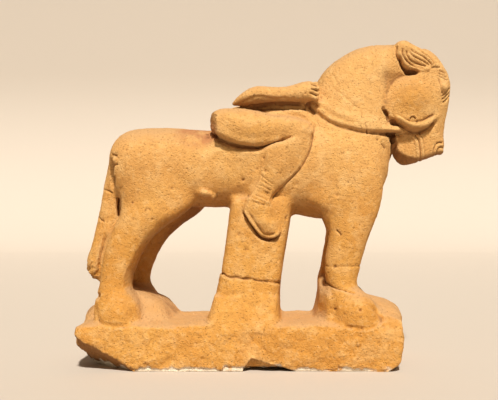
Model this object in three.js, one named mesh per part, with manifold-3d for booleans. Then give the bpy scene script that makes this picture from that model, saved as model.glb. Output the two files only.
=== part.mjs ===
import * as THREE from "three";
import { LoftGeometry } from "three/addons/geometries/LoftGeometry.js";
import { ImprovedNoise } from "three/addons/math/ImprovedNoise.js";
import { mergeVertices } from "three/addons/utils/BufferGeometryUtils.js";
import Module from "manifold-3d";

const wasm = await Module();
wasm.setup();

// Millimetres, +Z up. The horse faces +X and its right side, which is the carved one, faces -Y.
// Every shape is drawn with z = 0 at the slab's top; the mesh is then set on the slab's underside.

// The horse
const figureHeight = 686;
const bodyWidth = 208;
const neckWidth = 172;
const headWidth = 102;
const cheekSpread = 124;
const cheekBulge = 24;
const legSpread = 110;
const frontLegWidth = 80;
const hindLegWidth = 80;
const farHindStep = 20;
const farHeel = 12;
const tailWidth = 52;
const legRoot = 15;

// The rider's remains
const thighThickness = 80;
const kneeSpread = 166;
const shinThickness = 52;
const footThickness = 30;
const forearmThickness = 60;
const fingerThickness = 11;
const lapWidth = 148;

// The harness
const reinThickness = 17;
const cheekpieceRelief = 9;

// The support under the belly
const pillarWidth = 150;
const pillarDepth = 180;
const pillarSetback = 10;

// The slab
const slabHeight = 112;
const slabDepth = 272;
const slabBehindHeel = 48;
const slabBeyondToe = 53;
const slabSkew = 22;
const slabUndercut = 10;
const slabRoughness = 5;
const breakLength = 165;
const breakLip = 4;
const chipDepth = 12;

// The figure's own proportions are drawn at this height and follow figureHeight.
const drawnHeight = 686;
const unit = figureHeight / drawnHeight;
const noise = new ImprovedNoise();

// Solids

function solidOf(geometry) {
  geometry.deleteAttribute("normal");
  geometry.deleteAttribute("uv");
  const merged = mergeVertices(geometry, 1e-3);
  const source = merged.index.array;
  const corners = [];
  for (let i = 0; i < source.length; i += 3) {
    const [a, b, c] = source.subarray(i, i + 3);
    if (a !== b && b !== c && c !== a) corners.push(a, b, c);
  }
  const build = (list) =>
    new wasm.Manifold(
      new wasm.Mesh({
        numProp: 3,
        vertProperties: merged.attributes.position.array,
        triVerts: new Uint32Array(list),
      }),
    );
  const solid = build(corners);
  return solid.volume() > 0 ? solid : build(corners.reverse());
}

function geometryOf(solid) {
  const mesh = solid.getMesh();
  return new THREE.BufferGeometry()
    .setAttribute("position", new THREE.BufferAttribute(mesh.vertProperties, 3))
    .setIndex(new THREE.BufferAttribute(mesh.triVerts, 1));
}

const joined = (solids) => solids.reduce((sum, solid) => sum.add(solid));

// Shapes

const power = (value, exponent) => Math.sign(value) * Math.abs(value) ** exponent;

const curveOf = (points) => new THREE.CatmullRomCurve3(points.map((p) => new THREE.Vector3(...p)));

// A body through a row of ribs. A rib runs from one outline point to the other in the XZ plane and
// bulges by half on each side of its own y; square is 2 for an ellipse and more for a squarer rib.
function ribbed(ribs, sides, steps) {
  const froms = curveOf(ribs.map(({ from: [x, z] }) => [x, 0, z]));
  const tos = curveOf(ribs.map(({ to: [x, z] }) => [x, 0, z]));
  const widths = curveOf(ribs.map(({ half, y = 0, square = 2 }) => [half, y, square]));
  const sections = [];
  for (let i = 0; i <= steps; i++) {
    const from = froms.getPoint(i / steps);
    const to = tos.getPoint(i / steps);
    const width = widths.getPoint(i / steps);
    const middle = from.clone().add(to).multiplyScalar(0.5);
    const reach = to.clone().sub(from).multiplyScalar(0.5);
    const ring = [];
    for (let j = 0; j < sides; j++) {
      const angle = ((j + 0.5) / sides) * 2 * Math.PI;
      const along = power(Math.cos(angle), 2 / width.z);
      const across = power(Math.sin(angle), 2 / width.z);
      const point = middle.clone().addScaledVector(reach, along);
      point.y = width.y + Math.abs(width.x) * across;
      ring.push(point);
    }
    sections.push(ring);
  }
  const pole = (ring) => {
    const centre = new THREE.Vector3();
    ring.forEach((point) => centre.addScaledVector(point, 1 / sides));
    return ring.map(() => centre);
  };
  return solidOf(new LoftGeometry([pole(sections[0]), ...sections, pole(sections.at(-1))]));
}

function ellipsoid([x, z], y, radii, tilt, sides) {
  const ball = new THREE.SphereGeometry(1, sides, Math.round(sides / 2));
  ball.scale(...radii.map((r) => r * unit));
  ball.rotateY(tilt);
  ball.translate(x * unit, y, z * unit);
  return solidOf(ball);
}

// Rows of [from x, from z, to x, to z, half as a share] into ribs
const upright = (rows, width, y = 0, square = 2) =>
  rows.map(([fx, fz, tx, tz, share]) => ({
    from: [fx * unit, fz * unit],
    to: [tx * unit, tz * unit],
    half: (share * width) / 2,
    y,
    square,
  }));

// Rows of [x, z, half length, half width as a share, share of the heel] into the level ribs of a leg
const level = (rows, width, yAt, heel) =>
  rows.map(([x, z, reach, share, heelShare = 0]) => ({
    from: [(x - reach) * unit - 2 * heel * heelShare, z * unit],
    to: [(x + reach) * unit, z * unit],
    half: (share * width) / 2,
    y: yAt(z),
    square: 2.4,
  }));

const moved = (solid, x) => solidOf(geometryOf(solid).translate(x, 0, 0));
const mirrored = (solid) => solidOf(geometryOf(solid).scale(1, -1, 1));
const bothSides = (solid) => solid.add(mirrored(solid));

// The horse

const trunk = ribbed(
  upright(
    [
      [-332, 380, -326, 335, 0.25],
      [-326, 420, -318, 300, 0.63],
      [-306, 449, -300, 286, 0.85],
      [-272, 465, -270, 278, 0.96],
      [-222, 469, -222, 274, 1],
      [-160, 468, -160, 272, 0.97],
      [-90, 462, -90, 271, 0.91],
      [0, 464, 0, 270, 0.9],
      [80, 474, 80, 262, 0.93],
      [160, 490, 160, 246, 0.97],
      [240, 500, 240, 240, 1],
      [305, 478, 298, 262, 0.92],
      [345, 435, 336, 300, 0.66],
      [360, 385, 354, 340, 0.3],
    ],
    bodyWidth,
    0,
    2.3,
  ),
  22,
  17,
);

const neck = ribbed(
  upright(
    [
      [110, 480, 300, 300, 0.7],
      [135, 505, 352, 350, 1.04],
      [160, 545, 365, 392, 0.98],
      [185, 594, 382, 421, 0.9],
      [215, 628, 391, 444, 0.82],
      [252, 652, 386, 482, 0.75],
      [285, 669, 372, 530, 0.68],
      [325, 676, 375, 560, 0.61],
      [365, 677, 400, 580, 0.55],
      [400, 676, 430, 600, 0.49],
      [440, 655, 445, 620, 0.4],
    ],
    neckWidth,
  ),
  18,
  12,
);

const head = ribbed(
  upright(
    [
      [452, 668, 420, 660, 0.43],
      [478, 650, 395, 640, 0.67],
      [497, 627, 372, 606, 0.85],
      [508, 605, 358, 575, 0.94],
      [515, 578, 354, 545, 1],
      [514, 548, 358, 515, 0.98],
      [510, 520, 368, 488, 0.9],
      [504, 494, 380, 462, 0.8],
      [500, 465, 386, 440, 0.74],
      [499, 440, 384, 415, 0.71],
      [501, 420, 378, 398, 0.71],
      [496, 409, 384, 380, 0.67],
      [470, 398, 400, 374, 0.47],
    ],
    headWidth,
    0,
    2.3,
  ),
  18,
  15,
);

const cheek = ellipsoid([413, 531], -(cheekSpread / 2 - cheekBulge), [66, cheekBulge / unit, 66], 0, 14);
const eye = ellipsoid([490, 563], -headWidth * 0.39, [11, 9, 17], 0.3, 8);

const plume = ribbed(
  [
    [366, 655, 19, 6],
    [381, 655, 26, 16],
    [408, 646, 26, 18],
    [437, 634, 24, 17],
    [466, 622, 15, 12],
    [476, 616, 7, 5],
  ].map(([x, z, reach, half]) => ({
    from: [(x + reach * 0.4) * unit, (z + reach) * unit],
    to: [(x - reach * 0.4) * unit, (z - reach) * unit],
    half: half * unit,
    y: -headWidth * 0.35,
  })),
  10,
  8,
);

// The legs part a little towards the hooves and lean inwards above the haunch and the shoulder.
const hindY = (z) => -(legSpread / 2) * (z < 270 ? 1.1 + (270 - z) / 1100 : z > 400 ? 0.55 : 0.95);
const hindLeg = ribbed(
  level(
    [
      [-222, 440, 44, 0.7],
      [-218, 415, 66, 1.1],
      [-212, 375, 84, 1.26],
      [-206, 330, 96, 1.28],
      [-203, 285, 92, 1.25],
      [-222, 250, 74, 1.15],
      [-258, 215, 57, 1.05],
      [-284, 170, 47, 0.98],
      [-300, 120, 40, 0.93],
      [-306, 80, 38, 0.93],
      [-302, 60, 48, 1.08],
      [-297, 30, 59, 1.2],
      [-296, 0, 58, 1.2],
      [-296, -legRoot / unit, 56, 1.16],
    ],
    hindLegWidth,
    hindY,
    0,
  ),
  14,
  16,
);

const frontY = (z) => -(legSpread / 2) * (z < 60 ? 1.38 : z > 390 ? 0.8 : 1.1);
const frontLeg = (heel) =>
  ribbed(
    level(
      [
        [250, 460, 46, 0.7],
        [254, 420, 70, 0.96],
        [255, 380, 85, 1.1],
        [250, 330, 92, 1.12],
        [243, 290, 95, 1.1],
        [260, 250, 67, 1.02],
        [258, 205, 49, 1],
        [247, 165, 47, 0.96],
        [242, 130, 44, 0.92, 0.1],
        [239, 95, 38, 0.9, 0.6],
        [243, 78, 35, 0.94, 1],
        [262, 50, 52, 1.15, 1.1],
        [266, 22, 57, 1.25, 1.3],
        [266, 0, 54, 1.25, 1.7],
        [266, -legRoot / unit, 52, 1.2, 1.7],
      ],
      frontLegWidth,
      frontY,
      heel,
    ),
    14,
    17,
  );

// The tail hangs against the buttocks and the hocks and is broken off slanting.
const tail = ribbed(
  upright(
    [
      [-322, 424, -298, 430, 0.4],
      [-334, 400, -302, 400, 0.78],
      [-340, 370, -303, 370, 0.85],
      [-349, 330, -298, 330, 0.95],
      [-358, 277, -286, 277, 1],
      [-371, 214, -296, 214, 1.3],
      [-386, 152, -330, 152, 1.3],
      [-391, 122, -340, 112, 1.1],
      [-376, 95, -346, 80, 0.7],
    ],
    tailWidth,
    0,
    2.4,
  ),
  10,
  11,
);

// Stone left standing between the hooves, highest beside the leg in front of which it runs down
const web = (rows, y, square) =>
  ribbed(
    rows.map(([x, crest, half]) => ({
      from: [x * unit, crest * unit],
      to: [x * unit, -crest * unit * 0.5],
      half: half * unit,
      y,
      square,
    })),
    10,
    rows.length,
  );
const hindWeb = web(
  [
    [-397, 4, 30],
    [-378, 30, 34],
    [-345, 34, 52],
    [-298, 76, 84],
    [-246, 62, 88],
    [-207, 46, 84],
    [-182, 24, 66],
    [-166, 4, 44],
  ],
  legSpread * 0.16,
  2.4,
);
const frontWeb = web(
  [
    [232, 40, 60],
    [262, 60, 104],
    [300, 56, 116],
    [345, 46, 118],
    [378, 32, 112],
    [389, 8, 92],
  ],
  legSpread * 0.09,
  1.8,
);

// The rider

const thigh = (sides, steps) =>
  ribbed(
    upright(
      [
        [-80, 482, -80, 468, 0.2],
        [-71, 500, -71, 447, 0.65],
        [-47, 507, -47, 428, 0.9],
        [-14, 509, -14, 416, 1],
        [24, 504.5, 24, 411.7, 0.95],
        [67, 497, 62, 416, 0.85],
        [105, 491, 98, 430.7, 0.75],
        [138.6, 483, 124, 435, 0.68],
        [158, 469, 138, 430, 0.6],
        [168, 452, 152, 430, 0.36],
      ],
      thighThickness,
      -kneeSpread / 2,
    ),
    sides,
    steps,
  );

const shin = (sides, steps) =>
  ribbed(
    upright(
      [
        [150, 463, 108, 448, 0.6],
        [166, 443, 80, 436, 0.94],
        [162, 407, 50.5, 402, 1],
        [148, 381, 41, 371, 0.92],
        [124, 354.5, 36, 347, 0.84],
        [100.5, 331, 27, 326, 0.77],
        [81.5, 309, 19.6, 307, 0.7],
        [72, 285, 12.5, 285, 0.66],
      ],
      shinThickness,
    ).map((rib, i) => ({ ...rib, y: -(kneeSpread / 2) * (i < 4 ? 1.02 : 1) })),
    sides,
    steps,
  );

const foot = (sides, steps) =>
  ribbed(
    upright(
      [
        [71, 292, 14, 292, 0.7],
        [75, 280.8, 9, 280.8, 1],
        [81.5, 259.3, 3, 266.5, 0.95],
        [88.6, 238, 19.6, 240, 0.88],
        [93.4, 221, 36, 219, 0.85],
        [93.4, 213, 53, 207, 0.66],
        [88.6, 208, 67, 203.4, 0.4],
      ],
      footThickness,
      -pillarDepth / 2,
    ),
    sides,
    steps,
  );

const forearm = (sides, steps) =>
  ribbed(
    upright(
      [
        [-27, 523, -27, 515, 0.2],
        [-5.6, 541, -5.6, 515, 0.6],
        [21, 559.4, 23, 512.4, 0.87],
        [47, 563, 47, 517, 0.93],
        [83.6, 559.4, 83.6, 519.7, 0.83],
        [112.5, 564, 115, 522, 0.77],
        [136.6, 571.5, 141.4, 522, 0.87],
        [153.5, 576, 158, 524.5, 0.93],
        [170, 577.5, 177.6, 529, 0.73],
      ],
      forearmThickness,
    ).map((rib, i) => ({ ...rib, y: -(lapWidth / 2) * (i < 5 ? 0.97 : 0.85) })),
    sides,
    steps,
  );

const fingers = [570, 558, 547, 534].map((z, i) => {
  const finger = new THREE.CapsuleGeometry(fingerThickness / 2, 22 * unit, 1, 6);
  finger.rotateZ(-Math.PI / 2);
  finger.rotateY(0.12);
  finger.translate(174 * unit, -lapWidth / 2 - 2 * unit * (i % 2), z * unit);
  return solidOf(finger);
});

// What is left of the rider's hips, broken off level
const lap = ribbed(
  upright(
    [
      [-72, 490, -72, 440, 0.74],
      [-50, 512, -50, 430, 0.92],
      [0, 522, 0, 430, 0.97],
      [60, 527, 60, 430, 1],
      [110, 528, 110, 430, 1],
      [150, 528, 150, 430, 0.95],
      [185, 508, 190, 430, 0.6],
    ],
    lapWidth,
    0,
    3.4,
  ),
  12,
  7,
);

// The support

// Rows of [z, middle, width share, share of the spread]: it leans forward and spreads into the slab.
const pillar = ribbed(
  [
    [-20, 0, 1.25, 1],
    [10, 4, 1.15, 0.82],
    [45, 10, 1.06, 0.45],
    [90, 18, 0.99, 0.25],
    [150, 27, 0.98, 0.12],
    [220, 38, 1, 0.03],
    [292, 47, 1.01, -0.05],
  ].map(([z, middle, share, flare]) => ({
    from: [middle * unit - (pillarWidth / 2) * share, z * unit],
    to: [middle * unit + (pillarWidth / 2) * share, z * unit],
    half: pillarDepth / 2 + ((slabDepth - pillarDepth) / 2 - pillarSetback) * flare,
    square: 7,
  })),
  20,
  8,
);

const figure = joined([
  trunk,
  neck,
  head,
  bothSides(cheek),
  bothSides(eye),
  bothSides(plume),
  hindLeg,
  moved(mirrored(hindLeg), farHindStep),
  frontLeg(0),
  mirrored(frontLeg(farHeel)),
  tail,
  hindWeb,
  frontWeb,
  thigh(16, 11),
  shin(12, 10),
  foot(12, 9),
  forearm(12, 11),
  joined(fingers),
  mirrored(thigh(12, 8)),
  mirrored(shin(10, 7)),
  mirrored(foot(8, 7)),
  mirrored(forearm(10, 8)),
  mirrored(joined(fingers)),
  lap,
  pillar,
]);

// The harness lies on the skin of the figure

const skin = new THREE.Mesh(geometryOf(figure), new THREE.MeshBasicMaterial({ side: THREE.DoubleSide }));
const ray = new THREE.Raycaster();
const sideways = new THREE.Vector3(0, 1, 0);
function skinAt(x, z) {
  ray.set(new THREE.Vector3(x, -bodyWidth * 3, z), sideways);
  const [first] = ray.intersectObject(skin);
  return first ? first.point.y : -neckWidth / 2;
}

const onSkin = (rows, relief) =>
  upright(rows, 1).map((rib) => ({
    ...rib,
    half: relief,
    y: skinAt((rib.from[0] + rib.to[0]) / 2, (rib.from[1] + rib.to[1]) / 2),
  }));

// The rein's middle line, from the hand to the bit; it is thinner at both ends.
const reinRows = [
  [172, 534],
  [190, 517],
  [215, 503],
  [243, 489],
  [275, 477],
  [306, 470],
  [336, 469],
  [365, 470],
  [390, 466],
].map(([x, z], i, all) => {
  const before = new THREE.Vector2(...all[Math.max(i - 1, 0)]);
  const along = new THREE.Vector2(...all[Math.min(i + 1, all.length - 1)]).sub(before).normalize();
  const reach = ((i < 2 || i > 6 ? 0.72 : 1) * reinThickness) / 2 / unit;
  return [x - along.y * reach, z + along.x * reach, x + along.y * reach, z - along.x * reach];
});
const rein = ribbed(onSkin(reinRows, reinThickness / 2), 6, 14);

// A crescent around the lower cheek, as its outer and inner edge
const cheekpiece = ribbed(
  onSkin(
    [
      [366, 502, 369, 505],
      [380, 487, 383, 496],
      [398, 475, 400, 489],
      [420, 467, 420, 485],
      [445, 469, 443, 487],
      [465, 480, 461, 495],
      [481, 495, 479, 500],
    ],
    cheekpieceRelief,
  ),
  6,
  9,
);

// A knob of stone left in the fold of the groin
const groinKnob = ellipsoid([-95, 306], skinAt(-95 * unit, 306 * unit), [17, 12, 13], 0.5, 10);

// The slab reaches a little beyond the heel and the toe; its middle is the middle of the part.

const heelX = -354 * unit;
const toeX = 340 * unit;
const slabStart = heelX - slabBehindHeel;
const slabEnd = toeX + slabBeyondToe;
const slabLength = slabEnd - slabStart;
const slabMiddle = (slabStart + slabEnd) / 2;

function roughSlab() {
  const block = new THREE.BoxGeometry(slabLength, slabDepth, slabHeight, 16, 6, 3);
  block.translate(slabMiddle, 0, -slabHeight / 2);
  const spots = block.attributes.position;
  for (let i = 0; i < spots.count; i++) {
    const [x, y, z] = [spots.getX(i), spots.getY(i), spots.getZ(i)];
    const shake = (seed) => 1.6 * slabRoughness * noise.noise(x / 70 + seed, y / 70, z / 45 + seed);
    const end = x < slabStart + 1 ? -1 : x > slabEnd - 1 ? 1 : 0;
    const side = Math.abs(y) > slabDepth / 2 - 1 ? Math.sign(y) : 0;
    const top = z > -1 ? 1 : 0;
    const worn = 1.2 * slabRoughness * top;
    const rough = end || side ? 1 : 0;
    const undercut = end > 0 ? (slabUndercut * -z) / slabHeight : 0;
    const skew = ((y / slabDepth) * slabSkew * (x - slabMiddle)) / (slabLength / 2);
    spots.setXYZ(
      i,
      x + skew + shake(3) * rough - undercut - end * worn,
      y + shake(7) * rough - side * worn,
      z + top * (shake(11) - worn * rough),
    );
  }
  return solidOf(block);
}

// The broken end, where the underside runs up to the edge: long at the front corner, short behind it
function brokenCorner() {
  const block = new THREE.BoxGeometry(1, 1.2, 1, 7, 7, 1);
  const margin = 40;
  const spots = block.attributes.position;
  for (let i = 0; i < spots.count; i++) {
    const [u, v, w] = [spots.getX(i) + 0.5, spots.getY(i) + 0.5, spots.getZ(i)];
    const front = Math.min(1, Math.max(0, 1 - 3.2 * v) ** 0.8);
    const length = breakLength * (0.22 + 0.78 * front);
    const reach = u * (length + margin) - margin;
    const inside = THREE.MathUtils.clamp(reach / length, 0, 1);
    const profile = 0.35 * (1 - inside) ** 4 + 0.65 * (1 - inside) ** 0.6;
    const shake = 2 * slabRoughness * noise.noise(reach / 30, v * 7, 2);
    const rise = (slabHeight - breakLip) * profile * (0.42 + 0.58 * front) + shake;
    const z = w > 0 ? Math.max(rise, 1) : -margin;
    spots.setXYZ(i, slabStart + reach, (v - 0.5) * slabDepth, z - slabHeight);
  }
  return solidOf(block);
}

// Flakes lost from the lower front edge: [x, length, height]
const chips = [
  [34, 64, 30],
  [78, 72, 16],
  [slabEnd - 19, 48, 18],
].map(([x, length, height]) => {
  const chip = new THREE.SphereGeometry(1, 10, 6);
  chip.scale(length / 2, chipDepth + 4, height + 8);
  chip.translate(x, -slabDepth / 2 - 4, -slabHeight - 8);
  return solidOf(chip);
});

const slab = roughSlab().subtract(joined([brokenCorner(), ...chips]));
const stone = joined([figure, bothSides(joined([rein, cheekpiece])), groinKnob, slab]);

const limestone = new THREE.MeshStandardMaterial({ color: 0xd9b583, roughness: 0.9, metalness: 0 });
const statue = new THREE.Mesh(geometryOf(stone), limestone);
statue.name = "horse_and_rider";
statue.position.set(-slabMiddle, 0, slabHeight);

const group = new THREE.Group();
group.add(statue);
export default group;
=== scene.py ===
import math

import bmesh
import bpy
import numpy as np
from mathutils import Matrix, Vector
from mathutils.kdtree import KDTree


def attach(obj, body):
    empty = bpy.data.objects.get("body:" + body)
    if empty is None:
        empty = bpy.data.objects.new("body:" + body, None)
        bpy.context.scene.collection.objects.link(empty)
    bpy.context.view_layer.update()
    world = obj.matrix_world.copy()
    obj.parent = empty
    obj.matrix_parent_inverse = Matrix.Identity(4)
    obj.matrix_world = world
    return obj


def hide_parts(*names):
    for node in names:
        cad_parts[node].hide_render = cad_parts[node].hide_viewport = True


# Lengths are millimetres in the part's own frame while the stone is carved, and metres in its mesh, its
# material and the stage.
MM = 0.001
NEAR = -1
FAR = 1
BOTH = (NEAR, FAR)
SLAB_TOP = 112

COARSE_STEP = 3.6
MESH_STEP = 2.1
MOST_TRIANGLES = 196000

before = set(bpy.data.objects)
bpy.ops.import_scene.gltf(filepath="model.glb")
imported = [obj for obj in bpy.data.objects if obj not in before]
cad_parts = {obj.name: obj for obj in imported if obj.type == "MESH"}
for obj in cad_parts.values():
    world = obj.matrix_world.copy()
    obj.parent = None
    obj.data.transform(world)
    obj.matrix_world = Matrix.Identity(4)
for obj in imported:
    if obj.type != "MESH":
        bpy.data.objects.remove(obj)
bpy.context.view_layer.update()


# The stone as points that can be carved.

def apply_modifiers(piece):
    """Gives the piece the mesh that its modifiers make of it, and takes them off."""
    depsgraph = bpy.context.evaluated_depsgraph_get()
    finished = bpy.data.meshes.new_from_object(piece.evaluated_get(depsgraph))
    piece.modifiers.clear()
    piece.data = finished


def remeshed(piece, step):
    """The piece with its surface meshed again in even squares."""
    remesh = piece.modifiers.new("even", "REMESH")
    remesh.mode = "VOXEL"
    remesh.voxel_size = step * MM
    remesh.use_smooth_shade = True
    apply_modifiers(piece)
    return piece


def even_copy(node, step):
    """A closed copy of the CAD stone, merged and meshed evenly, so that it can be carved."""
    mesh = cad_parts[node].data.copy()
    mesh.materials.clear()
    shape = bmesh.new()
    shape.from_mesh(mesh)
    bmesh.ops.remove_doubles(shape, verts=shape.verts, dist=1e-5)
    bmesh.ops.recalc_face_normals(shape, faces=shape.faces)
    shape.to_mesh(mesh)
    shape.free()
    piece = bpy.data.objects.new("carved_stone", mesh)
    bpy.context.scene.collection.objects.link(piece)
    return remeshed(piece, step)


def value_noise(at, size, seed):
    """Smooth noise from -1 to 1 at points, with lumps of a size, the same on every run."""
    cell = at / size + seed * 17.31
    low = np.floor(cell).astype(np.int64)
    t = cell - low
    t = t * t * (3 - 2 * t)
    total = np.zeros(len(at))
    for corner in range(8):
        dx, dy, dz = corner & 1, corner >> 1 & 1, corner >> 2 & 1
        mixed = ((low[:, 0] + dx) * 73856093 ^ (low[:, 1] + dy) * 19349663
                 ^ (low[:, 2] + dz) * 83492791 ^ seed * 2654435761) & 0xFFFFFFFF
        mixed = (mixed ^ mixed >> 15) * 2246822519 & 0xFFFFFFFF
        mixed = (mixed ^ mixed >> 13) * 3266489917 & 0xFFFFFFFF
        value = (mixed & 0xFFFFFF) / 0x7FFFFF - 1
        weight = ((t[:, 0] if dx else 1 - t[:, 0]) * (t[:, 1] if dy else 1 - t[:, 1])
                  * (t[:, 2] if dz else 1 - t[:, 2]))
        total += value * weight
    return total


def rough(at, size, octaves, seed):
    """Noise with finer lumps added, each half the size and half the height."""
    total = np.zeros(len(at))
    for octave in range(octaves):
        total += value_noise(at, size / 2 ** octave, seed + octave) / 2 ** octave
    return total


def flakes(at, size, seed):
    """Heights, about -1 to 1, of small tilted faces that meet in edges, as a chisel leaves them."""
    picker = np.random.default_rng(seed)
    bends = np.stack([value_noise(at, size * 0.8, seed + axis) for axis in range(3)], axis=1)
    warped = at + size * 0.35 * bends
    low, high = warped.min(0), warped.max(0)
    count = int(np.prod((high - low) / size + 1))
    seats = picker.uniform(low, high, (count, 3))
    tilts = picker.normal(size=(count, 3)) * 0.9 / size
    lifts = picker.uniform(-0.45, 0.45, count)
    tree = KDTree(count)
    for number, seat in enumerate(seats):
        tree.insert(seat, number)
    tree.balance()
    nearest = np.array([tree.find(point)[1] for point in warped])
    return (tilts[nearest] * (warped - seats[nearest])).sum(1) + lifts[nearest]


def ramp(value, low, high):
    """0 at low and 1 at high, eased."""
    t = np.clip((value - low) / (high - low), 0, 1)
    return t * t * (3 - 2 * t)


class Stone:
    """The points of the stone's mesh while it is carved."""

    def __init__(self, piece):
        mesh = piece.data
        self.piece = piece
        self.at = np.zeros(len(mesh.vertices) * 3)
        mesh.vertices.foreach_get("co", self.at)
        self.at = self.at.reshape(-1, 3) / MM
        mesh.calc_loop_triangles()
        self.triangles = np.zeros(len(mesh.loop_triangles) * 3, np.int32)
        mesh.loop_triangles.foreach_get("vertices", self.triangles)
        self.triangles = self.triangles.reshape(-1, 3)
        self.edges = np.zeros(len(mesh.edges) * 2, np.int32)
        mesh.edges.foreach_get("vertices", self.edges)
        self.edges = self.edges.reshape(-1, 2)
        # What the material is told of each point, 0 to 1.
        self.painted_shade = np.zeros(len(self.at))
        self.hip = np.zeros(len(self.at))
        self.fresh = np.zeros(len(self.at))
        self.neighbours = np.maximum(1, np.bincount(self.edges.ravel(), minlength=len(self.at)))
        self.turn_normals()

    def turn_normals(self):
        """Normals of the points as they are now, evened out a little."""
        a, b, c = (self.at[self.triangles[:, i]] for i in range(3))
        faces = np.cross(b - a, c - a)
        normals = np.zeros_like(self.at)
        for axis in range(3):
            for i in range(3):
                normals[:, axis] += np.bincount(self.triangles[:, i], faces[:, axis], len(self.at))
        for _ in range(2):
            normals += self.mean(normals)
        self.normal = normals / np.maximum(1e-9, np.linalg.norm(normals, axis=1))[:, None]

    def mean(self, values):
        """The mean of each point's neighbours."""
        one, other = self.edges[:, 0], self.edges[:, 1]
        if values.ndim == 1:
            return (np.bincount(one, values[other], len(values))
                    + np.bincount(other, values[one], len(values))) / self.neighbours
        return np.stack([self.mean(values[:, axis]) for axis in range(3)], axis=1)

    def each(self, value):
        """A value for each point, from one number or from an array that has them already."""
        return np.zeros(len(self.at)) + value

    def smooth(self, weight, passes):
        """Evens the surface: each pass goes halfway to the mean of the neighbours."""
        weight = self.each(weight)[:, None]
        for _ in range(passes):
            self.at += 0.5 * weight * (self.mean(self.at) - self.at)

    def settle(self, weight, passes, spread):
        """Loses facets and seams but keeps the bulk: what evening takes off broadly is given back."""
        before = self.at
        even = before
        for _ in range(passes):
            even = 0.4 * even + 0.6 * self.mean(even)
        lost = before - even
        for _ in range(spread):
            lost = 0.4 * lost + 0.6 * self.mean(lost)
        weight = self.each(weight)[:, None]
        self.at = before + weight * (even + lost - before)

    def write(self):
        """Puts the carved points back into the piece's mesh, in metres."""
        self.piece.data.vertices.foreach_set("co", (self.at * MM).ravel())
        self.piece.data.update()

    def push(self, chosen, height):
        """Moves points out along their normals, or in where the height is below zero."""
        self.at[chosen] += self.normal[chosen] * np.reshape(height, (-1, 1))

    def facing(self, side, band=None):
        """Which points belong to one side of the statue and face that way. A band is the least and the
        most distance from the middle plane."""
        depth = self.at[:, 1] * side
        there = (depth > 1) & (self.normal[:, 1] * side > -0.1)
        if band:
            there &= (depth > band[0]) & (depth < band[1])
        return there

    def along(self, path, reach, chosen=None):
        """Points within reach of a path, how far each is from it, how far along it lies, 0 to 1, and its
        distance with a sign, above zero on the path's left. A path of (x, z) is drawn on the side, and one
        of (x, y, z) is in space, where the sign isn't worked out."""
        path = np.array(path, float)
        axes = (0, 2) if path.shape[1] == 2 else (0, 1, 2)
        points = self.at[:, axes]
        near = ((points > path.min(0) - reach) & (points < path.max(0) + reach)).all(1)
        if chosen is not None:
            near &= chosen
        found = np.nonzero(near)[0]
        points = points[found]
        best = np.full(len(found), 1e9)
        place = np.zeros(len(found))
        signed = np.zeros(len(found))
        lengths = np.linalg.norm(np.diff(path, axis=0), axis=1)
        total, run = lengths.sum() or 1, 0
        for start, end, length in zip(path[:-1], path[1:], lengths):
            way = end - start
            t = np.clip(((points - start) @ way) / max(1e-9, length * length), 0, 1)
            off = points - start - t[:, None] * way
            distance = np.linalg.norm(off, axis=1)
            closer = distance < best
            best = np.where(closer, distance, best)
            place = np.where(closer, (run + t * length) / total, place)
            if len(axes) == 2:
                cross = way[0] * (points[:, 1] - start[1]) - way[1] * (points[:, 0] - start[0])
                signed = np.where(closer, np.sign(cross) * distance, signed)
            run += length
        inside = best < reach
        return found[inside], best[inside], place[inside], signed[inside]


def curve(points):
    """A smooth path through points, with a few steps from each to the next."""
    steps = 6
    points = np.array(points, float)
    ends = np.vstack([2 * points[0] - points[1], points, 2 * points[-1] - points[-2]])
    path = []
    for a, b, c, d in zip(ends, ends[1:], ends[2:], ends[3:]):
        for t in np.arange(steps) / steps:
            path.append(0.5 * (2 * b + (c - a) * t + (2 * a - 5 * b + 4 * c - d) * t * t
                               + (3 * b - a - 3 * c + d) * t ** 3))
    path.append(points[-1])
    return np.array(path)


# Carving. What is chosen is a list or a mask of the stone's points.

TURNS = np.radians(np.arange(-10, 191, 20))
ARC = np.stack([np.cos(TURNS), np.sin(TURNS)], axis=1)


def groove(path, half_width, depth, sides=BOTH, ends=0.1, band=None):
    """A line cut along a path of (x, z) on the sides, or of (x, y, z). A depth below zero raises a ridge."""
    path = curve(path)
    if path.shape[1] == 3:
        choices = [None]
    else:
        choices = [stone.facing(side, band) for side in sides]
    for chosen in choices:
        found, distance, place, _ = stone.along(path, half_width, chosen)
        shape = (1 - (distance / half_width) ** 2) ** 2
        if ends:
            shape = shape * ramp(place, 0, ends) * ramp(1 - place, 0, ends)
        stone.push(found, -depth * shape)


def ridge(path, half_width, height, sides=BOTH, ends=0.1):
    groove(path, half_width, -height, sides, ends)


def dent(point, radius, depth, sides=(NEAR,), band=None):
    """A round hollow at (x, z) on the sides, or at (x, y, z). A depth below zero raises a swelling."""
    groove([point, np.array(point, float) + 0.01], radius, depth, sides, 0, band)


def within(outline, points):
    """Which points of (x, z) lie inside a closed outline."""
    inside = np.zeros(len(points), bool)
    x, z = points.T
    for (x0, z0), (x1, z1) in zip(outline, np.roll(outline, -1, axis=0)):
        if z0 != z1:
            inside ^= ((z0 > z) != (z1 > z)) & (x < x0 + (x1 - x0) * (z - z0) / (z1 - z0))
    return inside


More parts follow.
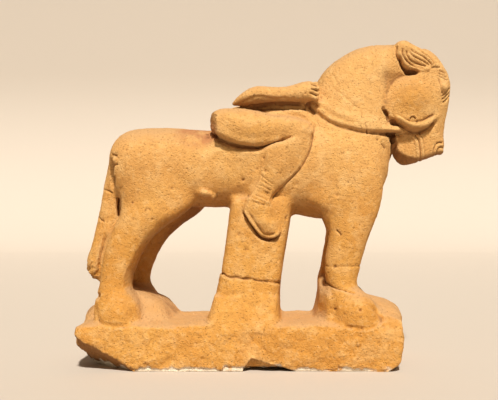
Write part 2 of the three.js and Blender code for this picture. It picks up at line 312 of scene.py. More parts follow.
def raised(outline, height, edges, sides=BOTH, band=None):
    """Lifts the inside of a closed outline of (x, z). Each of its points has the width of the slope there."""
    path = np.array(list(outline) + [outline[0]], float)
    widths = np.array(list(edges) + [edges[0]], float)
    steps = np.linalg.norm(np.diff(path, axis=0), axis=1)
    places = np.concatenate([[0], np.cumsum(steps)]) / steps.sum()
    reach = np.ptp(path, axis=0).max()
    for side in sides:
        found, distance, place, _ = stone.along(path, reach, stone.facing(side, band))
        inside = within(path[:-1], stone.at[found][:, (0, 2)])
        depth = np.where(inside, distance, -distance)
        half = np.interp(place, places, widths) / 2
        stone.push(found, height * ramp(depth / half, -1, 1))


def turned_in(path, over, least, inner, where, fade=1.0, shade_share=1.0, edge=16):
    """Thins the stone on the right of a path of (x, z). Over a distance from the path, the depth beyond
    inner shrinks to the least share of itself. The stone there also gets painted shade, from nothing at the
    path to the shade share at an edge's width. Both fade out where the fade is below 1."""
    reach = 90
    found, _, _, signed = stone.along(curve(path), reach, where)
    fade = stone.each(fade)[found]
    turned = np.clip(-signed / over, 0, 1) * fade
    y = stone.at[found, 1]
    beyond = np.maximum(0, np.abs(y) - inner)
    stone.at[found, 1] = np.sign(y) * (np.abs(y) - beyond * (1 - least) * turned)
    # Painted shade on the turned-in stone, which faces away from the light.
    dark = ramp(-signed, 0, edge) * fade * shade_share
    stone.painted_shade[found] = np.maximum(stone.painted_shade[found], dark)


def beside(path, offset):
    """A path moved sideways by an offset, to the left of its direction."""
    path = curve(path)
    way = np.gradient(path, axis=0)
    way /= np.linalg.norm(way, axis=1)[:, None]
    return path + offset * np.stack([-way[:, 1], way[:, 0]], axis=1)


def guard(weight, path, reach):
    """Lowers the weight of evening near a carved line."""
    found, distance, _, _ = stone.along(curve(path), reach)
    weight[found] = np.minimum(weight[found], 1 - 0.85 * ramp(1 - distance / reach, 0, 0.6))


# Carved lines that more than one step follows, as (x, z).
REIN = [(171, 640), (182, 625), (192, 617), (215, 598), (244, 585), (275, 577), (306, 572), (337, 572),
        (368, 573), (396, 574)]
CHEEKPIECE = [(366, 607), (383, 597), (400, 586), (417, 580), (433, 580), (453, 588), (470, 599), (478, 605)]
THIGH_UNDERSIDE = [(-71, 590), (-64, 564), (-49, 548), (-29, 537), (-3, 528), (42, 524), (80, 532),
                   (107, 542), (132, 551)]
SHIN_FRONT = [(174, 563), (170, 534), (160, 505), (139, 470), (109, 440), (81, 411), (70, 391)]
SHIN_BACK = [(62, 519), (60, 504), (52, 482), (47, 469), (43, 450), (26, 419), (17, 400)]
SOLE = [(7, 373), (17, 355), (33, 332), (48, 312), (67, 306), (85, 309), (98, 319)]
ARM_UNDERSIDE = [(-17, 628), (12, 629), (31, 626), (74, 630), (119, 632), (158, 631)]
FINGERS = [(150, 668), (190, 662)]
KNOB = [(-84, 417), (-68, 411)]


def settle_figure():
    """Takes the facets and hard joins out of the body and leaves the small carved things crisp."""
    z = stone.at[:, 2]
    weight = 1 - 0.65 * ramp(100 - z, 0, 12)
    for path, reach in ((REIN, 16), (CHEEKPIECE, 18), (THIGH_UNDERSIDE, 12), (SHIN_FRONT, 14), (SOLE, 16),
                        (ARM_UNDERSIDE, 10), (FINGERS, 24), (KNOB, 20)):
        guard(weight, path, reach)
    weight[z < 6] = 0
    stone.settle(weight, passes=30, spread=40)
    stone.at[:, 2] = np.maximum(stone.at[:, 2], 0)
    stone.turn_normals()


def drawn_in(amount, outward):
    """Moves points against a direction in Y and Z, or along it where the amount is below zero."""
    stone.at[:, 1] -= amount * outward[0]
    stone.at[:, 2] -= amount * outward[1]


def fill(low, high, top):
    """Raises what is above the slab inside a plan rectangle to at least the height top(x, y)."""
    x, y, z = stone.at.T
    inside = (x > low[0]) & (x < high[0]) & (y > low[1]) & (y < high[1])
    inside &= (z > 100) & (z < 190)
    found = np.nonzero(inside)[0]
    wanted = top(x[found], y[found])
    stone.at[found, 2] = np.maximum(z[found], wanted)


def feet():
    """The hooves swell out over the slab, and stone left between them rises to the far side."""
    dent((286, -104, 126), 62, -13)
    dent((-287, -104, 128), 62, -12)
    dent((300, -104, 118), 40, -5)
    dent((-290, -108, 118), 40, -5)

    def front_rise(x, y):
        crown = 158 - 0.22 * (x - 290) - 22 * ramp(x, 395, 412)
        across = np.clip((y + 132) / 117, 0, 1)
        return 110 + (crown - 110) * across * ramp(x, 250, 290) - 20 * ramp(y, 95, 130)

    def rear_rise(x, y):
        crown = 192 - 0.42 * (x + 290) - 20 * ramp(x, -200, -165)
        across = ramp(y, -112, -45)
        return 96 + (crown - 96) * across * ramp(-x, 150, 178) - 24 * ramp(y, 60, 120)

    fill((255, -131), (412, 118), front_rise)
    fill((-300, -118), (-150, 95), rear_rise)
    stone.turn_normals()
    # Between the front legs the stone comes forward to the near one, rough and in a slanting face.
    x, y, z = stone.at.T
    face = (x > 148) & (x < 240) & (y > -18) & (z > 92) & (z < 240) & (stone.normal[:, 1] < -0.1)
    plane = np.maximum(-98, -82 + (203 - x) * 2.3) - 16 * ramp(138 - z, 0, 28)
    forward = np.maximum(0, y - plane + 3 * rough(stone.at, 15, 3, 81)) * ramp(240 - x, 0, 20)
    stone.at[face, 1] -= (forward * ramp(218 - z, 0, 42) * ramp(z, 92, 96))[face]
    stone.at[face, 2] -= (16 * ramp(120 - z, 0, 14) * np.clip(forward / 20, 0, 1))[face]


def slopes():
    """What the feet stand on is evened, and runs out into the slab's front."""
    x, y, z = stone.at.T
    near_feet = ramp(np.abs(x - 8), 150, 190) * ramp(200 - z, 0, 20) * ramp(z, 60, 85)
    stone.smooth(near_feet, 10)
    joint = ramp(x, 178, 192) * ramp(236 - x, 0, 14) * ramp(z, 96, 106) * ramp(232 - z, 0, 30)
    stone.smooth(joint * ramp(-y, 24, 40), 10)
    # The pillar's foot fills out to a slope, and the top beside the front hoof is cut to one.
    outward = (-0.938, 0.346)
    behind = np.minimum(0, (y + 102) * outward[0] + (z - 178) * outward[1])
    foot = ramp(x, -82, -48) * ramp(106 - x, 0, 34) * ramp(z, 84, 96) * ramp(178 - z, 0, 12) * (y < -76)
    drawn_in(behind * foot, outward)
    outward = (-0.856, 0.518)
    beyond = (y + 112) * outward[0] + (z - 126) * outward[1]
    foot = ramp(x, 318, 352) * ramp(z, 82, 100) * ramp(140 - z, 0, 14) * (y < -100)
    drawn_in(beyond * foot, outward)
    corner = ramp(x, 318, 345) * ramp(z, 84, 100) * ramp(170 - z, 0, 20)
    pillar_foot = (0.8 * ramp(z, 90, 100) * ramp(175 - z, 0, 20) * ramp(-y, 70, 90)
                   * ramp(90 - np.abs(x - 12), 0, 20))
    stone.smooth(np.maximum(corner, pillar_foot), 14)


def head():
    """Mane, cheek, eye, bridle, nostril and jaw."""
    # The lock of mane that curls up behind the forelock overhangs the cheek.
    hollow = [(384, 756), (389, 739), (396, 724), (406, 716), (420, 713), (437, 714)]
    groove(hollow, 7.5, 12, ends=0.2)
    groove(hollow, 4.5, 6, ends=0.25)
    groove([(380, 779), (378, 764), (380, 750), (386, 738)], 5, 6, ends=0.15)
    ridge([(384, 767), (389, 750), (398, 736), (412, 727), (432, 721), (446, 720), (464, 722)], 9, 4)
    dent((396, 781), 24, -4, BOTH)
    stone.turn_normals()
    for lock in ([(395, 774), (393, 758), (402, 742), (418, 729), (437, 722), (450, 721)],
                 [(405, 767), (403, 755), (414, 740), (434, 731), (456, 726)],
                 [(411, 767), (413, 756), (426, 747), (446, 737), (463, 727)],
                 [(411, 771), (421, 761), (443, 750), (459, 737), (469, 726)],
                 [(424, 777), (443, 762), (463, 747), (475, 729)],
                 [(437, 777), (456, 762), (472, 748), (482, 732)]):
        groove(lock, 3.4, 3.4)
    groove([(463, 724), (478, 726), (492, 728)], 3.4, 3.4)
    for strand in ([(482, 712), (496, 708), (509, 703)], [(482, 705), (496, 701), (510, 696)],
                   [(484, 719), (497, 716), (506, 712)]):
        groove(strand, 3.2, 3.4)
    # The cheek is a round shield with a crease behind it.
    cheek = [(437, 715), (417, 713), (402, 708), (383, 700), (369, 688), (358, 669), (354, 647),
             (356, 625), (361, 605)]
    groove(cheek, 12, 3.5)
    groove(cheek, 6, 1.3)
    dent((412, 650), 52, -4, BOTH)
    dent((361, 699), 20, 4)
    # The eye bulges between two lids.
    dent((498, 679), 17, -5, BOTH)
    groove([(485, 703), (487, 681), (493, 658)], 5, 3.2)
    for lid in ([(491, 654), (504, 665), (515, 679)], [(492, 647), (505, 657), (516, 670)],
                [(494, 639), (506, 649), (516, 661)]):
        groove(lid, 2.9, 3.8, ends=0.05)
    # Cheekpiece with the arcs of the ring above it.
    ridge(CHEEKPIECE, 10.5, 7, ends=0.15)
    groove([(368, 600), (380, 586), (398, 574), (415, 566), (433, 565), (455, 573), (471, 586), (480, 598)],
           7, 7, ends=0.1)
    groove([(370, 612), (386, 605), (404, 595), (422, 591), (443, 595), (462, 605), (477, 611)], 4, 2.5)
    raised([(353, 618), (358, 588), (389, 580), (377, 592), (366, 603), (362, 612)], -8, [6] * 6)
    stone.turn_normals()
    centre = np.array((417.5, 596))
    ridge(centre + 9.9 * ARC, 2.8, 2.4, ends=0.05)
    groove(centre + 6.2 * ARC, 2.6, 3, ends=0.05)
    # Noseband.
    strap = [(426, 562), (435, 546), (439, 523), (440, 507), (440, 494)]
    groove(strap, 3.2, 4, ends=0.03)
    for offset in (-6.5, 6.5):
        ridge(beside(strap, offset)[::3], 4, 1.2, ends=0.03)
        groove(beside(strap, 1.7 * offset)[::3], 3, 1.6, ends=0.03)
    # Nostril in a double fold.
    dent((497, 519), 11, -5, BOTH)
    groove([(480, 511), (483, 524), (491, 531), (501, 531)], 3.2, 3.6, ends=0.05)
    ridge([(476, 512), (479, 528), (488, 536), (500, 537)], 2.8, 1.8, ends=0.05)
    groove([(471, 513), (475, 532), (485, 542), (499, 543)], 3.2, 3.4, ends=0.05)
    # The throat is filled behind the jaw, which is undercut there and below.
    x, y, z = stone.at.T
    back = (x > 372) & (x < 414) & (z > 486) & (z < 566) & (np.abs(y) < 62) & (stone.normal[:, 0] < -0.1)
    stone.at[back, 0] -= (14 * ramp(z, 490, 528) * ramp(414 - x, 0, 16))[back]
    stone.turn_normals()
    groove([(366, 566), (370, 552), (374, 540)], 11, 14)
    x, y, z = stone.at.T
    jaw = (x > 366) & (x < 516) & (z < 565) & (z > 440)
    jawline = [(380, 578), (384, 552), (389, 526), (402, 513), (430, 505), (456, 510), (478, 518),
               (506, 527)]
    # The jaw's turned-in underside gets strong painted shade.
    turned_in(jawline, over=24, least=0.08, inner=0, where=jaw, shade_share=1.6, edge=5)
    stone.turn_normals()


def bridle_and_rein():
    """The rein's rounded edges, and its end under the cheekpiece."""
    for offset, depth in ((-11, 4), (11, 1.2)):
        groove(beside(REIN, offset)[::4], 7, depth, ends=0.04)
    ridge(REIN, 8, 3.5, ends=0.04)
    ridge([(340, 572), (366, 573), (388, 574), (413, 571)], 9, 6, ends=0.45)
    groove([(330, 559), (352, 559), (378, 560), (400, 563)], 7, 5, ends=0.2)
    stone.turn_normals()


def rider():
    """What is left of the rider: forearm and hand, hip and thigh, shin, ankle wraps and foot."""
    # Forearm and fingers.
    groove(ARM_UNDERSIDE[1:], 5.5, 8, ends=0.15)
    x, y, z = stone.at.T
    forearm = (x > -45) & (x < 158) & (z > 618) & (z < 668) & (np.abs(y) > 50)
    arm_line = [(-30, 638), (10, 646), (45, 649), (100, 647), (156, 643)]
    # The forearm's lower half turns in and gets light painted shade.
    turned_in(arm_line, over=26, least=0.8, inner=30, where=forearm, shade_share=0.55)
    stone.turn_normals()
    for gap in ([(166, 679), (176, 676), (187, 671)], [(166, 666), (176, 664), (188, 660)],
                [(164, 656), (175, 653), (187, 648)]):
        groove(gap, 2.8, 3.6, ends=0.25)
    for tip in ((182, 681), (184, 668), (184, 656), (181, 644)):
        dent(tip, 8, -3.5, BOTH)
    groove([(160, 684), (157, 668), (156, 652)], 5, 1.5)
    # The thigh is broken off at the hip in a rough upright face.
    groove(THIGH_UNDERSIDE, 7, 9, ends=0.06)
    ridge([(-60, 575), (-45, 560), (-25, 548), (0, 539), (42, 534), (80, 540), (105, 549)], 14, 5)
    x, y, z = stone.at.T
    outward = (0.92, 0.39)
    beyond = -(outward[0] * (x + 75) + outward[1] * (66 - np.abs(y)))
    beyond += 1.6 * rough(stone.at, 9, 2, 91)
    end = (x > -88) & (x < -40) & (np.abs(y) > 55) & (z > 548) & (z < 612)
    hip = end & (beyond > 0)
    stone.at[hip, 0] += (beyond * outward[0])[hip]
    stone.at[hip, 1] += (beyond * outward[1] * np.where(y < 0, 1, -1))[hip]
    # The near broken hip face is marked for painted shade, as it turns away from the light.
    stone.hip = ramp(beyond, -3, 0) * end * (y < 0)
    stone.turn_normals()
    flank = [(-70, 558), (-52, 537), (-3, 521), (42, 517), (98, 535), (70, 498), (10, 492), (-60, 512)]
    raised(flank, 8, [10, 12, 12, 12, 12, 44, 50, 44], band=(40, 110))
    stone.turn_normals()
    # Knee, shin and foot stand out from the horse's side and from the pillar.
    groove([(40, 620), (62, 612), (80, 606), (113, 608), (146, 602), (168, 586), (178, 563)], 8, 3.5)
    groove([(83, 602), (82, 590), (82, 576)], 3, 1.2)
    knee = [(84, 530), (110, 541), (128, 557), (140, 585), (160, 600), (178, 590)]
    raised(SHIN_FRONT + [(48, 393), (17, 398)] + SHIN_BACK[::-1] + knee, 5,
           [6] * 7 + [10] * 2 + [18] * 7 + [10, 16, 28, 36, 30, 14])
    groove(SHIN_FRONT, 5, 4, ends=0.06)
    groove(SHIN_BACK, 6, 2.5)
    foot = [(11, 377), (22, 359), (37, 337), (51, 319), (67, 313), (84, 315), (96, 324), (93, 338), (84, 356),
            (77, 374), (72, 392), (44, 402), (19, 398)]
    raised(foot, 5, [5] * 6 + [8, 20, 30, 30, 30, 30, 16])
    dent((93, 338), 20, 4.5, BOTH)
    dent((80, 360), 20, 3, BOTH)
    stone.turn_normals()
    # The wraps around the ankle.
    first = np.array([(48, 457), (67, 445), (84, 431)])
    last = np.array([(23, 401), (45, 393), (67, 386)])
    wraps = 8
    picker = np.random.default_rng(3)
    for number in range(wraps):
        wrap = first + (last - first) * (number + picker.uniform(-0.22, 0.22)) / (wraps - 1)
        wrap = wrap + picker.uniform(-1.5, 1.5, wrap.shape)
        wrap[0] += (wrap[1] - wrap[0]) * picker.uniform(0, 0.2)
        wrap[2] -= (wrap[2] - wrap[1]) * picker.uniform(0, 0.3)
        groove(wrap, 3.1, 2.1, ends=0.12)
    # The foot lies on the pillar's face, with a thin sole.
    groove(SOLE, 5.5, 9, ends=0.05)
    stone.turn_normals()
    ridge(beside(SOLE, 6)[::4], 3.6, 3.6, ends=0.05)
    groove(beside(SOLE, 11.5)[::4], 4, 2.2, ends=0.15)
    dent((57, 348), 20, -3, BOTH)
    stone.turn_normals()


def tail():
    """The tail hangs in a flat band behind the haunch, and a slot parts the two."""
    x, y, z = stone.at.T
    line = np.interp(z, [330, 361, 400, 426, 454, 482], [-320, -308, -309, -306, -303, -299])
    behind = ramp(line - x, 0, 7) * ramp(z, 335, 365) * ramp(510 - z, 0, 35) * (x < -280)
    half_width = 27
    stone.at[:, 1] -= behind * np.sign(y) * np.maximum(0, np.abs(y) - half_width)
    stone.turn_normals()
    groove([(-301, 462), (-304, 440), (-306, 415)], 6, 5, ends=0.2)
    groove([(-304, 408), (-304, 392), (-303, 372), (-303, 358)], 4.5, 14, ends=0.15)
    groove([(-331, 322), (-344, 268), (-359, 212)], 7, 6, ends=0.2)
    dent((-301, 497), 11, -5)
    groove([(-312, 510), (-303, 508), (-292, 504)], 5, 5)
    groove([(-306, 485), (-297, 484), (-290, 487)], 4, 4)
    for crack in ([(-345, 428), (-330, 424), (-315, 416)], [(-356, 360), (-346, 352), (-336, 347)],
                  [(-382, 222), (-374, 236), (-366, 250)]):
        groove(crack, 3.2, 3, sides=(NEAR,))
    for strand in ([(-331, 420), (-343, 340), (-358, 262)], [(-322, 400), (-334, 330), (-350, 258)]):
        groove(strand, 4, 1.4, sides=(NEAR,))
    stone.turn_normals()
    # The lower end is broken off ragged.
    end = (stone.at[:, 0] < -350) & (stone.at[:, 2] < 285) & (stone.at[:, 2] > 175)
    found = np.nonzero(end)[0]
    ragged = rough(stone.at[found], 18, 3, 61)
    stone.push(found, 5 * ragged * ramp(285 - stone.at[found, 2], 0, 50))


def legs_and_pillar():
    """The knob, the near legs and hooves, and the break through the pillar."""
    # The knob under the belly.
    ridge([(-87, 418), (-76, 415), (-66, 410)], 11, 9, sides=(NEAR,), ends=0)
    # The near hind leg turns in towards the gap before it, and its inner face gets painted shade.
    x, y, z = stone.at.T
    near_leg = (y < -20) & (z > 170) & (z < 400) & (x < -100)
    leg_front = [(-277, 165), (-277, 195), (-272, 227), (-254, 263), (-232, 300), (-200, 331), (-155, 363),
                 (-109, 390)]
    turned_in(leg_front, over=25, least=0.55, inner=20, where=near_leg, fade=ramp(z, 174, 206), shade_share=1.1)
    stone.turn_normals()
    # A hollow behind the near hind hoof, then the outlines of both near hooves.
    groove([(-372, -60, 176), (-350, -88, 174), (-328, -106, 171)], 11, 11)
    dent((-347, -75, 172), 15, 12)
    hind_hoof = [(-334, 158), (-339, 141), (-333, 120), (-314, 110), (-294, 107), (-262, 107), (-246, 111)]
    groove(hind_hoof, 8, 3.6, sides=(NEAR,), ends=0.2)
    front_hoof = [(302, 157), (322, 139), (334, 119), (320, 107), (304, 102), (289, 100), (273, 102),
                  (256, 104), (240, 107)]
    groove(front_hoof, 8, 4, sides=(NEAR,))
    # The pillar was broken through and put together again. The lower block stands out a little on the left.
    x, y, z = stone.at.T
    pillar = (x > -75) & (x < 112) & (np.abs(y) < 118) & (z > 180) & (z < 260)
    line = np.interp(x, [-75, -41, -23, 1, 26, 43, 61, 89, 112],
                     [228, 224, 216, 215, 213, 209, 208, 204, 202])
    line = line + 2.6 * value_noise(stone.at, 16, 5) + 1.2 * value_noise(stone.at, 6, 6)
    below = line - z
    crack = -4.2 * np.exp(-(below / 3.0) ** 2)
    step = 2.6 * ramp(below, -2, 4) * ramp(40 - x, 0, 70) * ramp(46 - below, 0, 30)
    stone.push(pillar, (crack + step)[pillar])
    stone.turn_normals()
    # Near front leg: a filled break, a hair crack and a hollow behind the pastern.
    groove([(204, 242), (229, 241), (250, 242), (290, 242)], 3.4, 1.6, sides=(NEAR,), ends=0)
    groove([(204, 205), (209, 199), (216, 194), (233, 189), (244, 187), (262, 182), (277, 178)], 3, 3.6,
           sides=(NEAR,))
    dent((217, 176), 13, 3.5, band=(55, 125))
    stone.turn_normals()


def marks():
    """The small holes, chips and hair cracks that each have a place of their own."""
    groove([(346, 622), (352, 611)], 7, 11, sides=(NEAR,), ends=0)
    groove([(353, 612), (357, 600), (361, 588)], 6, 7, sides=(NEAR,), ends=0.1)
    groove([(340, 538), (346, 532), (352, 525)], 3.4, 3, sides=(NEAR,))
    dent((331, 546), 4.5, 3)
    dent((-256, 394), 5, 3)
    groove(np.array((-217, 374)) + 6 * ARC, 3, 2.6, sides=(NEAR,))
    for crack in ([(330, 790), (327, 780), (330, 762), (336, 742)], [(313, 766), (327, 752), (330, 733)],
                  [(219, 674), (235, 664), (255, 646), (271, 630), (292, 618)],
                  [(222, 710), (230, 697), (235, 677)], [(292, 612), (294, 592), (310, 582)]):
        groove(crack, 2.9, 1.5, sides=(NEAR,))
    groove([(300, 584), (304, 560)], 2.9, 2.6, sides=(NEAR,), ends=0)
    groove([(228, 329), (235, 323), (241, 315)], 4.5, 4, sides=(NEAR,))
    torn = [(-4, 631), (16, 638), (34, 645), (53, 646), (78, 641), (100, 643), (118, 645)]
    groove(torn, 4, 2.6, sides=(NEAR,))
    dent((224, 143), 6, 4)
    dent((283, 143), 6, 4)
    stone.turn_normals()


def pits(count):
    """How deep each point lies in small round pits. The rein and the foot of the slab have none."""
    picker = np.random.default_rng(7)
    seats = picker.choice(len(stone.at), count, replace=False)
    sizes = picker.uniform(2.6, 5.2, count)
    sizes *= np.where(picker.random(count) < 0.07, 1.8, 1)
    depths = sizes * picker.uniform(0.25, 0.55, count)
    order = np.argsort(stone.at[:, 0])
    sorted_x = stone.at[order, 0]
    pushed = np.zeros(len(stone.at))
    on_rein = set(stone.along(curve(REIN), 18)[0].tolist())
    for seat, size, depth in zip(seats, sizes, depths):
        centre = stone.at[seat]
        if centre[2] < 6 or seat in on_rein:
            continue
        lo, hi = np.searchsorted(sorted_x, (centre[0] - size, centre[0] + size))
        close = order[lo:hi]
        distance = np.linalg.norm(stone.at[close] - centre, axis=1)
        inside = distance < size
        close = close[inside]
        pushed[close] = np.maximum(pushed[close], depth * (1 - (distance[inside] / size) ** 2) ** 1.5)
    return pushed


def wear():
    """Pits and unevenness all over, with the slab's sides rough as the chisel left them."""
    x, y, z = stone.at.T
    slab_side = ramp(SLAB_TOP - z, 0, 14) * (1 - ramp(stone.normal[:, 2], 0.5, 0.8))
    uneven = 0.8 * rough(stone.at, 38, 2, 11) + 0.5 * rough(stone.at, 11, 2, 23)
    hewn = 2.6 * rough(stone.at, 46, 3, 31) + rough(stone.at, 13, 2, 41)
    sides = slab_side > 0
    hewn[sides] += 0.6 * flakes(stone.at[sides], 30, 37) + 0.5 * flakes(stone.at[sides], 9, 38)
    hewn[sides] += 0.5 * rough(stone.at[sides], 6, 2, 39)
    height = uneven * (1 - slab_side) + hewn * slab_side - pits(900)
    pillar_rough = ramp(230 - z, 0, 20) * ramp(z, 100, 130) * ramp(85 - np.abs(x - 15), 0, 20)
    height += 1.3 * rough(stone.at, 14, 2, 51) * pillar_rough
    height += 0.3 * value_noise(stone.at, 5, 57)
    height *= ramp(z, 2, 10)
    stone.push(np.arange(len(stone.at)), height)


def lower_edge():
    """The slab's lower edge: two broad breaks, then fresh chips all along, most a little above the floor."""
    raised([(30, 31), (65, 18), (101, 9), (128, 0), (128, -9), (8, -9), (16, 10)], -9, [5] * 7, (NEAR,))
    raised([(388, 30), (376, 12), (352, 0), (352, -9), (404, -9), (404, 34)], -12, [8] * 6, (NEAR,))
    stone.turn_normals()
    x, y, z = stone.at.T
    lip = 10 + 9 * value_noise(stone.at, 24, 71) + 5 * value_noise(stone.at, 9, 72)
    chipped = ramp(lip - z, 0, 3.5) * np.clip(z / np.maximum(lip, 1), 0, 1) * (stone.normal[:, 2] < 0.4)
    sideways = stone.normal * (1, 1, 0)
    stone.at -= sideways * (chipped * (5.5 + 2.5 * value_noise(stone.at, 9, 73)))[:, None]
    stone.at[:, 2] = np.maximum(stone.at[:, 2], 0)
    stone.fresh = ramp(lip - z, -1, 2.5) * (z > 0.2)
    stone.turn_normals()


piece = even_copy("horse_and_rider", COARSE_STEP)
stone = Stone(piece)
settle_figure()
feet()
stone.write()
stone = Stone(remeshed(piece, COARSE_STEP))
slopes()
stone.write()
stone = Stone(remeshed(piece, MESH_STEP))
stone.smooth(1, 3)
stone.turn_normals()
head()
bridle_and_rein()
rider()
tail()
legs_and_pillar()
marks()
wear()
lower_edge()
stone.write()


def note(name, values):
    """Keeps a value for each point of the stone, for its material to read."""
    store = piece.data.attributes.new(name, "FLOAT", "POINT")
    store.data.foreach_set("value", np.asarray(values, np.float32))


def spot(point, radius):
    """1 at a place, 0 beyond a radius from it. A place of (x, z) is on the near side only."""
    axes = (0, 2) if len(point) == 2 else (0, 1, 2)
    distance = np.linalg.norm(stone.at[:, axes] - np.array(point, float), axis=1)
    value = ramp(1 - distance / radius, 0, 1)
    return value * (stone.at[:, 1] < 0) if len(point) == 2 else value


def hollow(passes):
    """How deep each point lies below the stone around it, which more passes take from further off."""
    even = stone.at
    for _ in range(passes):
        even = stone.mean(even)
    return ((even - stone.at) * stone.normal).sum(1)


def dirt_dust_and_painted_shade():
    """Where dirt, dust, stains, paler stone and painted shade lie."""
    x, y, z = stone.at.T
    up = stone.normal[:, 2]
    fine_hollow = hollow(5)
    on_slab = ramp(SLAB_TOP - z, 0, 14)
    note("fine_hollow", fine_hollow * (1 - 0.6 * on_slab * (fine_hollow > 0)))
    note("broad_hollow", hollow(45))
    note("fresh", stone.fresh)
    between_feet = (ramp(y, -104, -84) * ramp(205 - z, 0, 20) * ramp(z, 96, 106)
                    * ramp(np.abs(x - 8), 120, 150))
    note("upward", up + 0.5 * between_feet * (up > 0))
    # Painted shade in the hollows behind the cheek and on the broken hip face, and darker patches on the
    # cheek itself.
    behind_cheek = spot((361, 699), 34) + spot((352, 640), 16)
    on_cheek = 0.4 * spot((425, 680), 42) + 0.4 * spot((440, 640), 30)
    note("stain_and_shade", np.clip(behind_cheek + on_cheek + stone.hip * 0.8, 0, 1))
    note("rust", np.clip(2.4 * spot((-106, -58, 563), 66) + 1.2 * spot((-76, 562), 34), 0, 1))
    note("upper", ramp(z, 230, 620) * (1 - 0.8 * spot((418, 640), 80) - 0.5 * spot((40, 575), 100)))
    # Painted shade: darker on faces that turn downwards, on turned-in stone, on the inner faces between the
    # hind legs and on the slab's broken corner.
    broken_corner = (x < -225) & (z < 108) & (up < -0.25)
    inner_leg = (y > -12) & (stone.normal[:, 1] < 0) & (x < -110) & (z > 120) & (z < 400)
    shade = ramp(-up, 0.2, 0.85) * 0.5 + 0.5 * stone.painted_shade + 0.4 * inner_leg
    note("shade", np.clip(shade + 0.7 * broken_corner * ramp(-up, 0.25, 0.5), 0, 0.85))


dirt_dust_and_painted_shade()
decimate = piece.modifiers.new("fewer", "DECIMATE")
decimate.ratio = min(1, MOST_TRIANGLES / len(stone.triangles))
decimate.use_collapse_triangulate = True
apply_modifiers(piece)
piece.data.shade_smooth()

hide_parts("horse_and_rider")
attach(piece, "root")


class Wire:
    """A value in a material's node tree, on which Python's operators add Math nodes."""

    def __init__(self, maker, socket):
        self.maker = maker
        self.socket = socket

    def maths(self, operation, other):
        return self.maker.node("ShaderNodeMath", {"operation": operation}, {0: self, 1: other})[0]

    def __add__(self, other):
        return self.maths("ADD", other)

    __radd__ = __add__

    def __mul__(self, other):
        return self.maths("MULTIPLY", other)

    __rmul__ = __mul__

    def __rsub__(self, other):
        return (self * -1) + other

    def between(self, low, high):
        """0 at low and 1 at high, eased."""
        return self.maker.node("ShaderNodeMapRange", {"interpolation_type": "SMOOTHSTEP"},
                               {"Value": self, "From Min": low, "From Max": high})[0]


class Finish:
    """One material and its nodes."""

    def __init__(self, name):
        self.material = bpy.data.materials.new(name)
        self.material.use_nodes = True
        self.tree = self.material.node_tree
        self.shader = self.tree.nodes["Principled BSDF"]

    def node(self, kind, settings=None, sockets=None):
        """Adds a node: its settings first, then the values or wires of its sockets. Returns its outputs."""
        made = self.tree.nodes.new(kind)
        for name, value in (settings or {}).items():
            setattr(made, name, value)
        for name, value in (sockets or {}).items():
            self.feed(made.inputs[name], value)
        return [Wire(self, output) for output in made.outputs if output.enabled]

    def feed(self, socket, value):
        if isinstance(value, Wire):
            self.tree.links.new(value.socket, socket)
        else:
            socket.default_value = value

    def noise(self, place, scale, detail, roughness=0.55):
        return self.node("ShaderNodeTexNoise", None, {"Vector": place, "Scale": scale, "Detail": detail,
                                                      "Roughness": roughness})[0]

    def attribute(self, name):
        """One number for each point, kept on the mesh under a name: the node's third output."""
        return self.node("ShaderNodeAttribute", {"attribute_name": name})[2]

    def mixed(self, share, one, other):
        """One colour turned into another by a share. The Mix node has its colours at sockets 6 and 7."""
        return self.node("ShaderNodeMix", {"data_type": "RGBA"}, {0: share, 6: one, 7: other})[0]


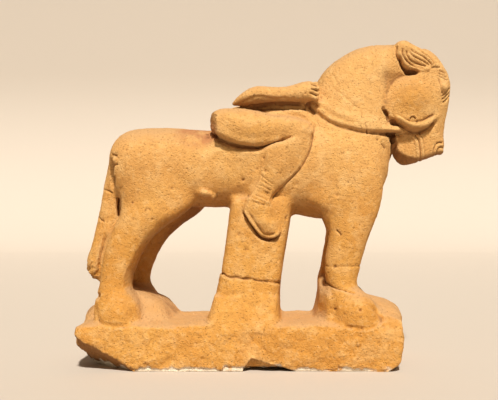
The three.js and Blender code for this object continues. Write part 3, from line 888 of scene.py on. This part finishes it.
def limestone():
    finish = Finish("limestone")
    # The fourth output has the object's own coordinates.
    place = finish.node("ShaderNodeTexCoord")[3]
    # Noise from broad to fine, in lumps per metre.
    broad = finish.noise(place, 5.5, 3.0)
    cloudy = finish.noise(place, 19.0, 4.0, 0.6)
    mottle = finish.noise(place, 62.0, 5.0, 0.7)
    grain = finish.noise(place, 160.0, 3.0, 0.7)
    speck = finish.noise(place, 420.0, 2.0, 0.6)

    honey = (0.71, 0.355, 0.08, 1)
    ochre = (0.64, 0.285, 0.052, 1)
    pale = (0.83, 0.52, 0.215, 1)
    dust = (0.62, 0.36, 0.155, 1)
    umber = (0.47, 0.20, 0.042, 1)
    cream = (0.87, 0.555, 0.24, 1)
    # Dark brown for dirt, grain and painted shade.
    dirt_and_shade = (0.25, 0.105, 0.035, 1)
    white = (0.92, 0.82, 0.66, 1)
    red = (0.46, 0.185, 0.075, 1)

    upward = finish.attribute("upward")
    fine_hollow = finish.attribute("fine_hollow")
    broad_hollow = finish.attribute("broad_hollow")
    fresh = finish.attribute("fresh")
    stain_and_shade = finish.attribute("stain_and_shade")
    rust = finish.attribute("rust")
    shade = finish.attribute("shade")
    upper = finish.attribute("upper")

    colour = finish.mixed(broad.between(0.38, 0.62), honey, ochre)
    colour = finish.mixed(cloudy.between(0.46, 0.66) * 0.55, colour, pale)
    colour = finish.mixed(mottle.between(0.52, 0.36) * 0.42, colour, umber)
    colour = finish.mixed(mottle.between(0.52, 0.66) * 0.5, colour, pale)
    colour = finish.mixed(upper * 0.42, colour, cream)
    colour = finish.mixed((1 - upper) * 0.25, colour, honey)
    dusty = upward.between(0.35, 0.95) * (cloudy.between(0.3, 0.6) * 0.25 + 0.7)
    colour = finish.mixed(dusty, colour, dust)
    colour = finish.mixed(grain.between(0.42, 0.28) * 0.55, colour, dirt_and_shade)
    colour = finish.mixed(speck.between(0.58, 0.72) * 0.35, colour, pale)
    # Dirt in the pits, and painted shade in the fine creases.
    colour = finish.mixed(fine_hollow.between(0.25, 1.6) * 0.75, colour, dirt_and_shade)
    # Painted shade in broad hollows and recesses.
    colour = finish.mixed(broad_hollow.between(1.5, 8.0) * 0.5, colour, dirt_and_shade)
    colour = finish.mixed(fine_hollow.between(-0.2, -1.0) * 0.4, colour, pale)
    # Painted shade and darker patches, broken up by cloudy noise.
    colour = finish.mixed(stain_and_shade * cloudy.between(0.35, 0.6) * 0.6, colour, dirt_and_shade)
    colour = finish.mixed(rust * cloudy.between(0.25, 0.55) * 0.8, colour, red)
    colour = finish.mixed(shade, colour, dirt_and_shade)
    colour = finish.mixed(fresh * cloudy.between(0.34, 0.46) * 0.9, colour, white)
    finish.feed(finish.shader.inputs["Base Color"], colour)
    finish.feed(finish.shader.inputs["Roughness"], 0.82 + 0.14 * cloudy)

    pores = finish.node("ShaderNodeTexVoronoi", {"feature": "F1"},
                        {"Vector": place, "Scale": 150.0, "Randomness": 1.0})[0]
    height = grain * 0.7 + speck * 0.4 + cloudy * 0.5 + pores.between(0.02, 0.28) * 0.5
    bump = finish.node("ShaderNodeBump", None, {"Height": height, "Distance": 0.0055, "Strength": 0.9})[0]
    finish.feed(finish.shader.inputs["Normal"], bump)
    finish.shader.inputs["Specular IOR Level"].default_value = 0.25
    return finish.material


piece.data.materials.append(limestone())


# Floor, light and camera. Lengths are in metres here.

FLOOR_REACH = 12
BEND_START = 5
BEND_RADIUS = 2
BACKDROP_TOP = 9


def floor():
    """A pale floor that curves up into a backdrop far behind."""
    turns = np.radians(np.arange(0, 91, 6))
    bend = [(BEND_START + BEND_RADIUS * math.sin(turn), BEND_RADIUS - BEND_RADIUS * math.cos(turn))
            for turn in turns]
    section = [(-FLOOR_REACH, 0)] + bend + [(BEND_START + BEND_RADIUS, BACKDROP_TOP)]
    shape = bmesh.new()
    line = [shape.verts.new((-FLOOR_REACH, y, z)) for y, z in section]
    edges = [shape.edges.new(pair) for pair in zip(line, line[1:])]
    grown = bmesh.ops.extrude_edge_only(shape, edges=edges)["geom"]
    bmesh.ops.translate(shape, verts=[part for part in grown if isinstance(part, bmesh.types.BMVert)],
                        vec=(2 * FLOOR_REACH, 0, 0))
    bmesh.ops.recalc_face_normals(shape, faces=shape.faces)
    mesh = bpy.data.meshes.new("floor")
    shape.to_mesh(mesh)
    shape.free()
    mesh.shade_smooth()
    ground = bpy.data.objects.new("floor", mesh)
    bpy.context.scene.collection.objects.link(ground)
    pale = bpy.data.materials.new("pale floor")
    pale.use_nodes = True
    shader = pale.node_tree.nodes["Principled BSDF"]
    shader.inputs["Base Color"].default_value = (0.58, 0.52, 0.45, 1)
    shader.inputs["Roughness"].default_value = 0.8
    mesh.materials.append(pale)


floor()
sun = bpy.data.lights.new("key", "SUN")
sun.energy = 4.7
sun.angle = math.radians(5)
sun.color = (1.0, 0.93, 0.84)
key = bpy.data.objects.new("key", sun)
key.rotation_euler = Vector((-0.08, 0.57, -0.81)).to_track_quat("-Z", "Y").to_euler()
bpy.context.scene.collection.objects.link(key)
bpy.context.scene.view_settings.view_transform = "Standard"

world = bpy.data.worlds.new("studio")
world.use_nodes = True
sky = world.node_tree.nodes["Background"]
sky.inputs["Color"].default_value = (0.95, 0.76, 0.52, 1)
sky.inputs["Strength"].default_value = 0.14
bpy.context.scene.world = world

# The photo's size, and the point in it that the camera looks straight at, in pixels from its upper left.
IMAGE_WIDTH = 498
IMAGE_HEIGHT = 400
AHEAD_X = 288
AHEAD_Y = 213
FOCAL_PIXELS = 760
lens = bpy.data.cameras.new("photo_view")
lens.sensor_fit = "HORIZONTAL"
lens.sensor_width = 36
lens.lens = FOCAL_PIXELS * lens.sensor_width / IMAGE_WIDTH
lens.shift_x = (IMAGE_WIDTH / 2 - AHEAD_X) / IMAGE_WIDTH
lens.shift_y = (AHEAD_Y - IMAGE_HEIGHT / 2) / IMAGE_WIDTH
camera = bpy.data.objects.new("photo_view", lens)
camera.location = (0.1145, -1.9, 0.369)
camera.rotation_euler = (math.pi / 2, 0, 0)
bpy.context.scene.collection.objects.link(camera)
bpy.context.scene.camera = camera
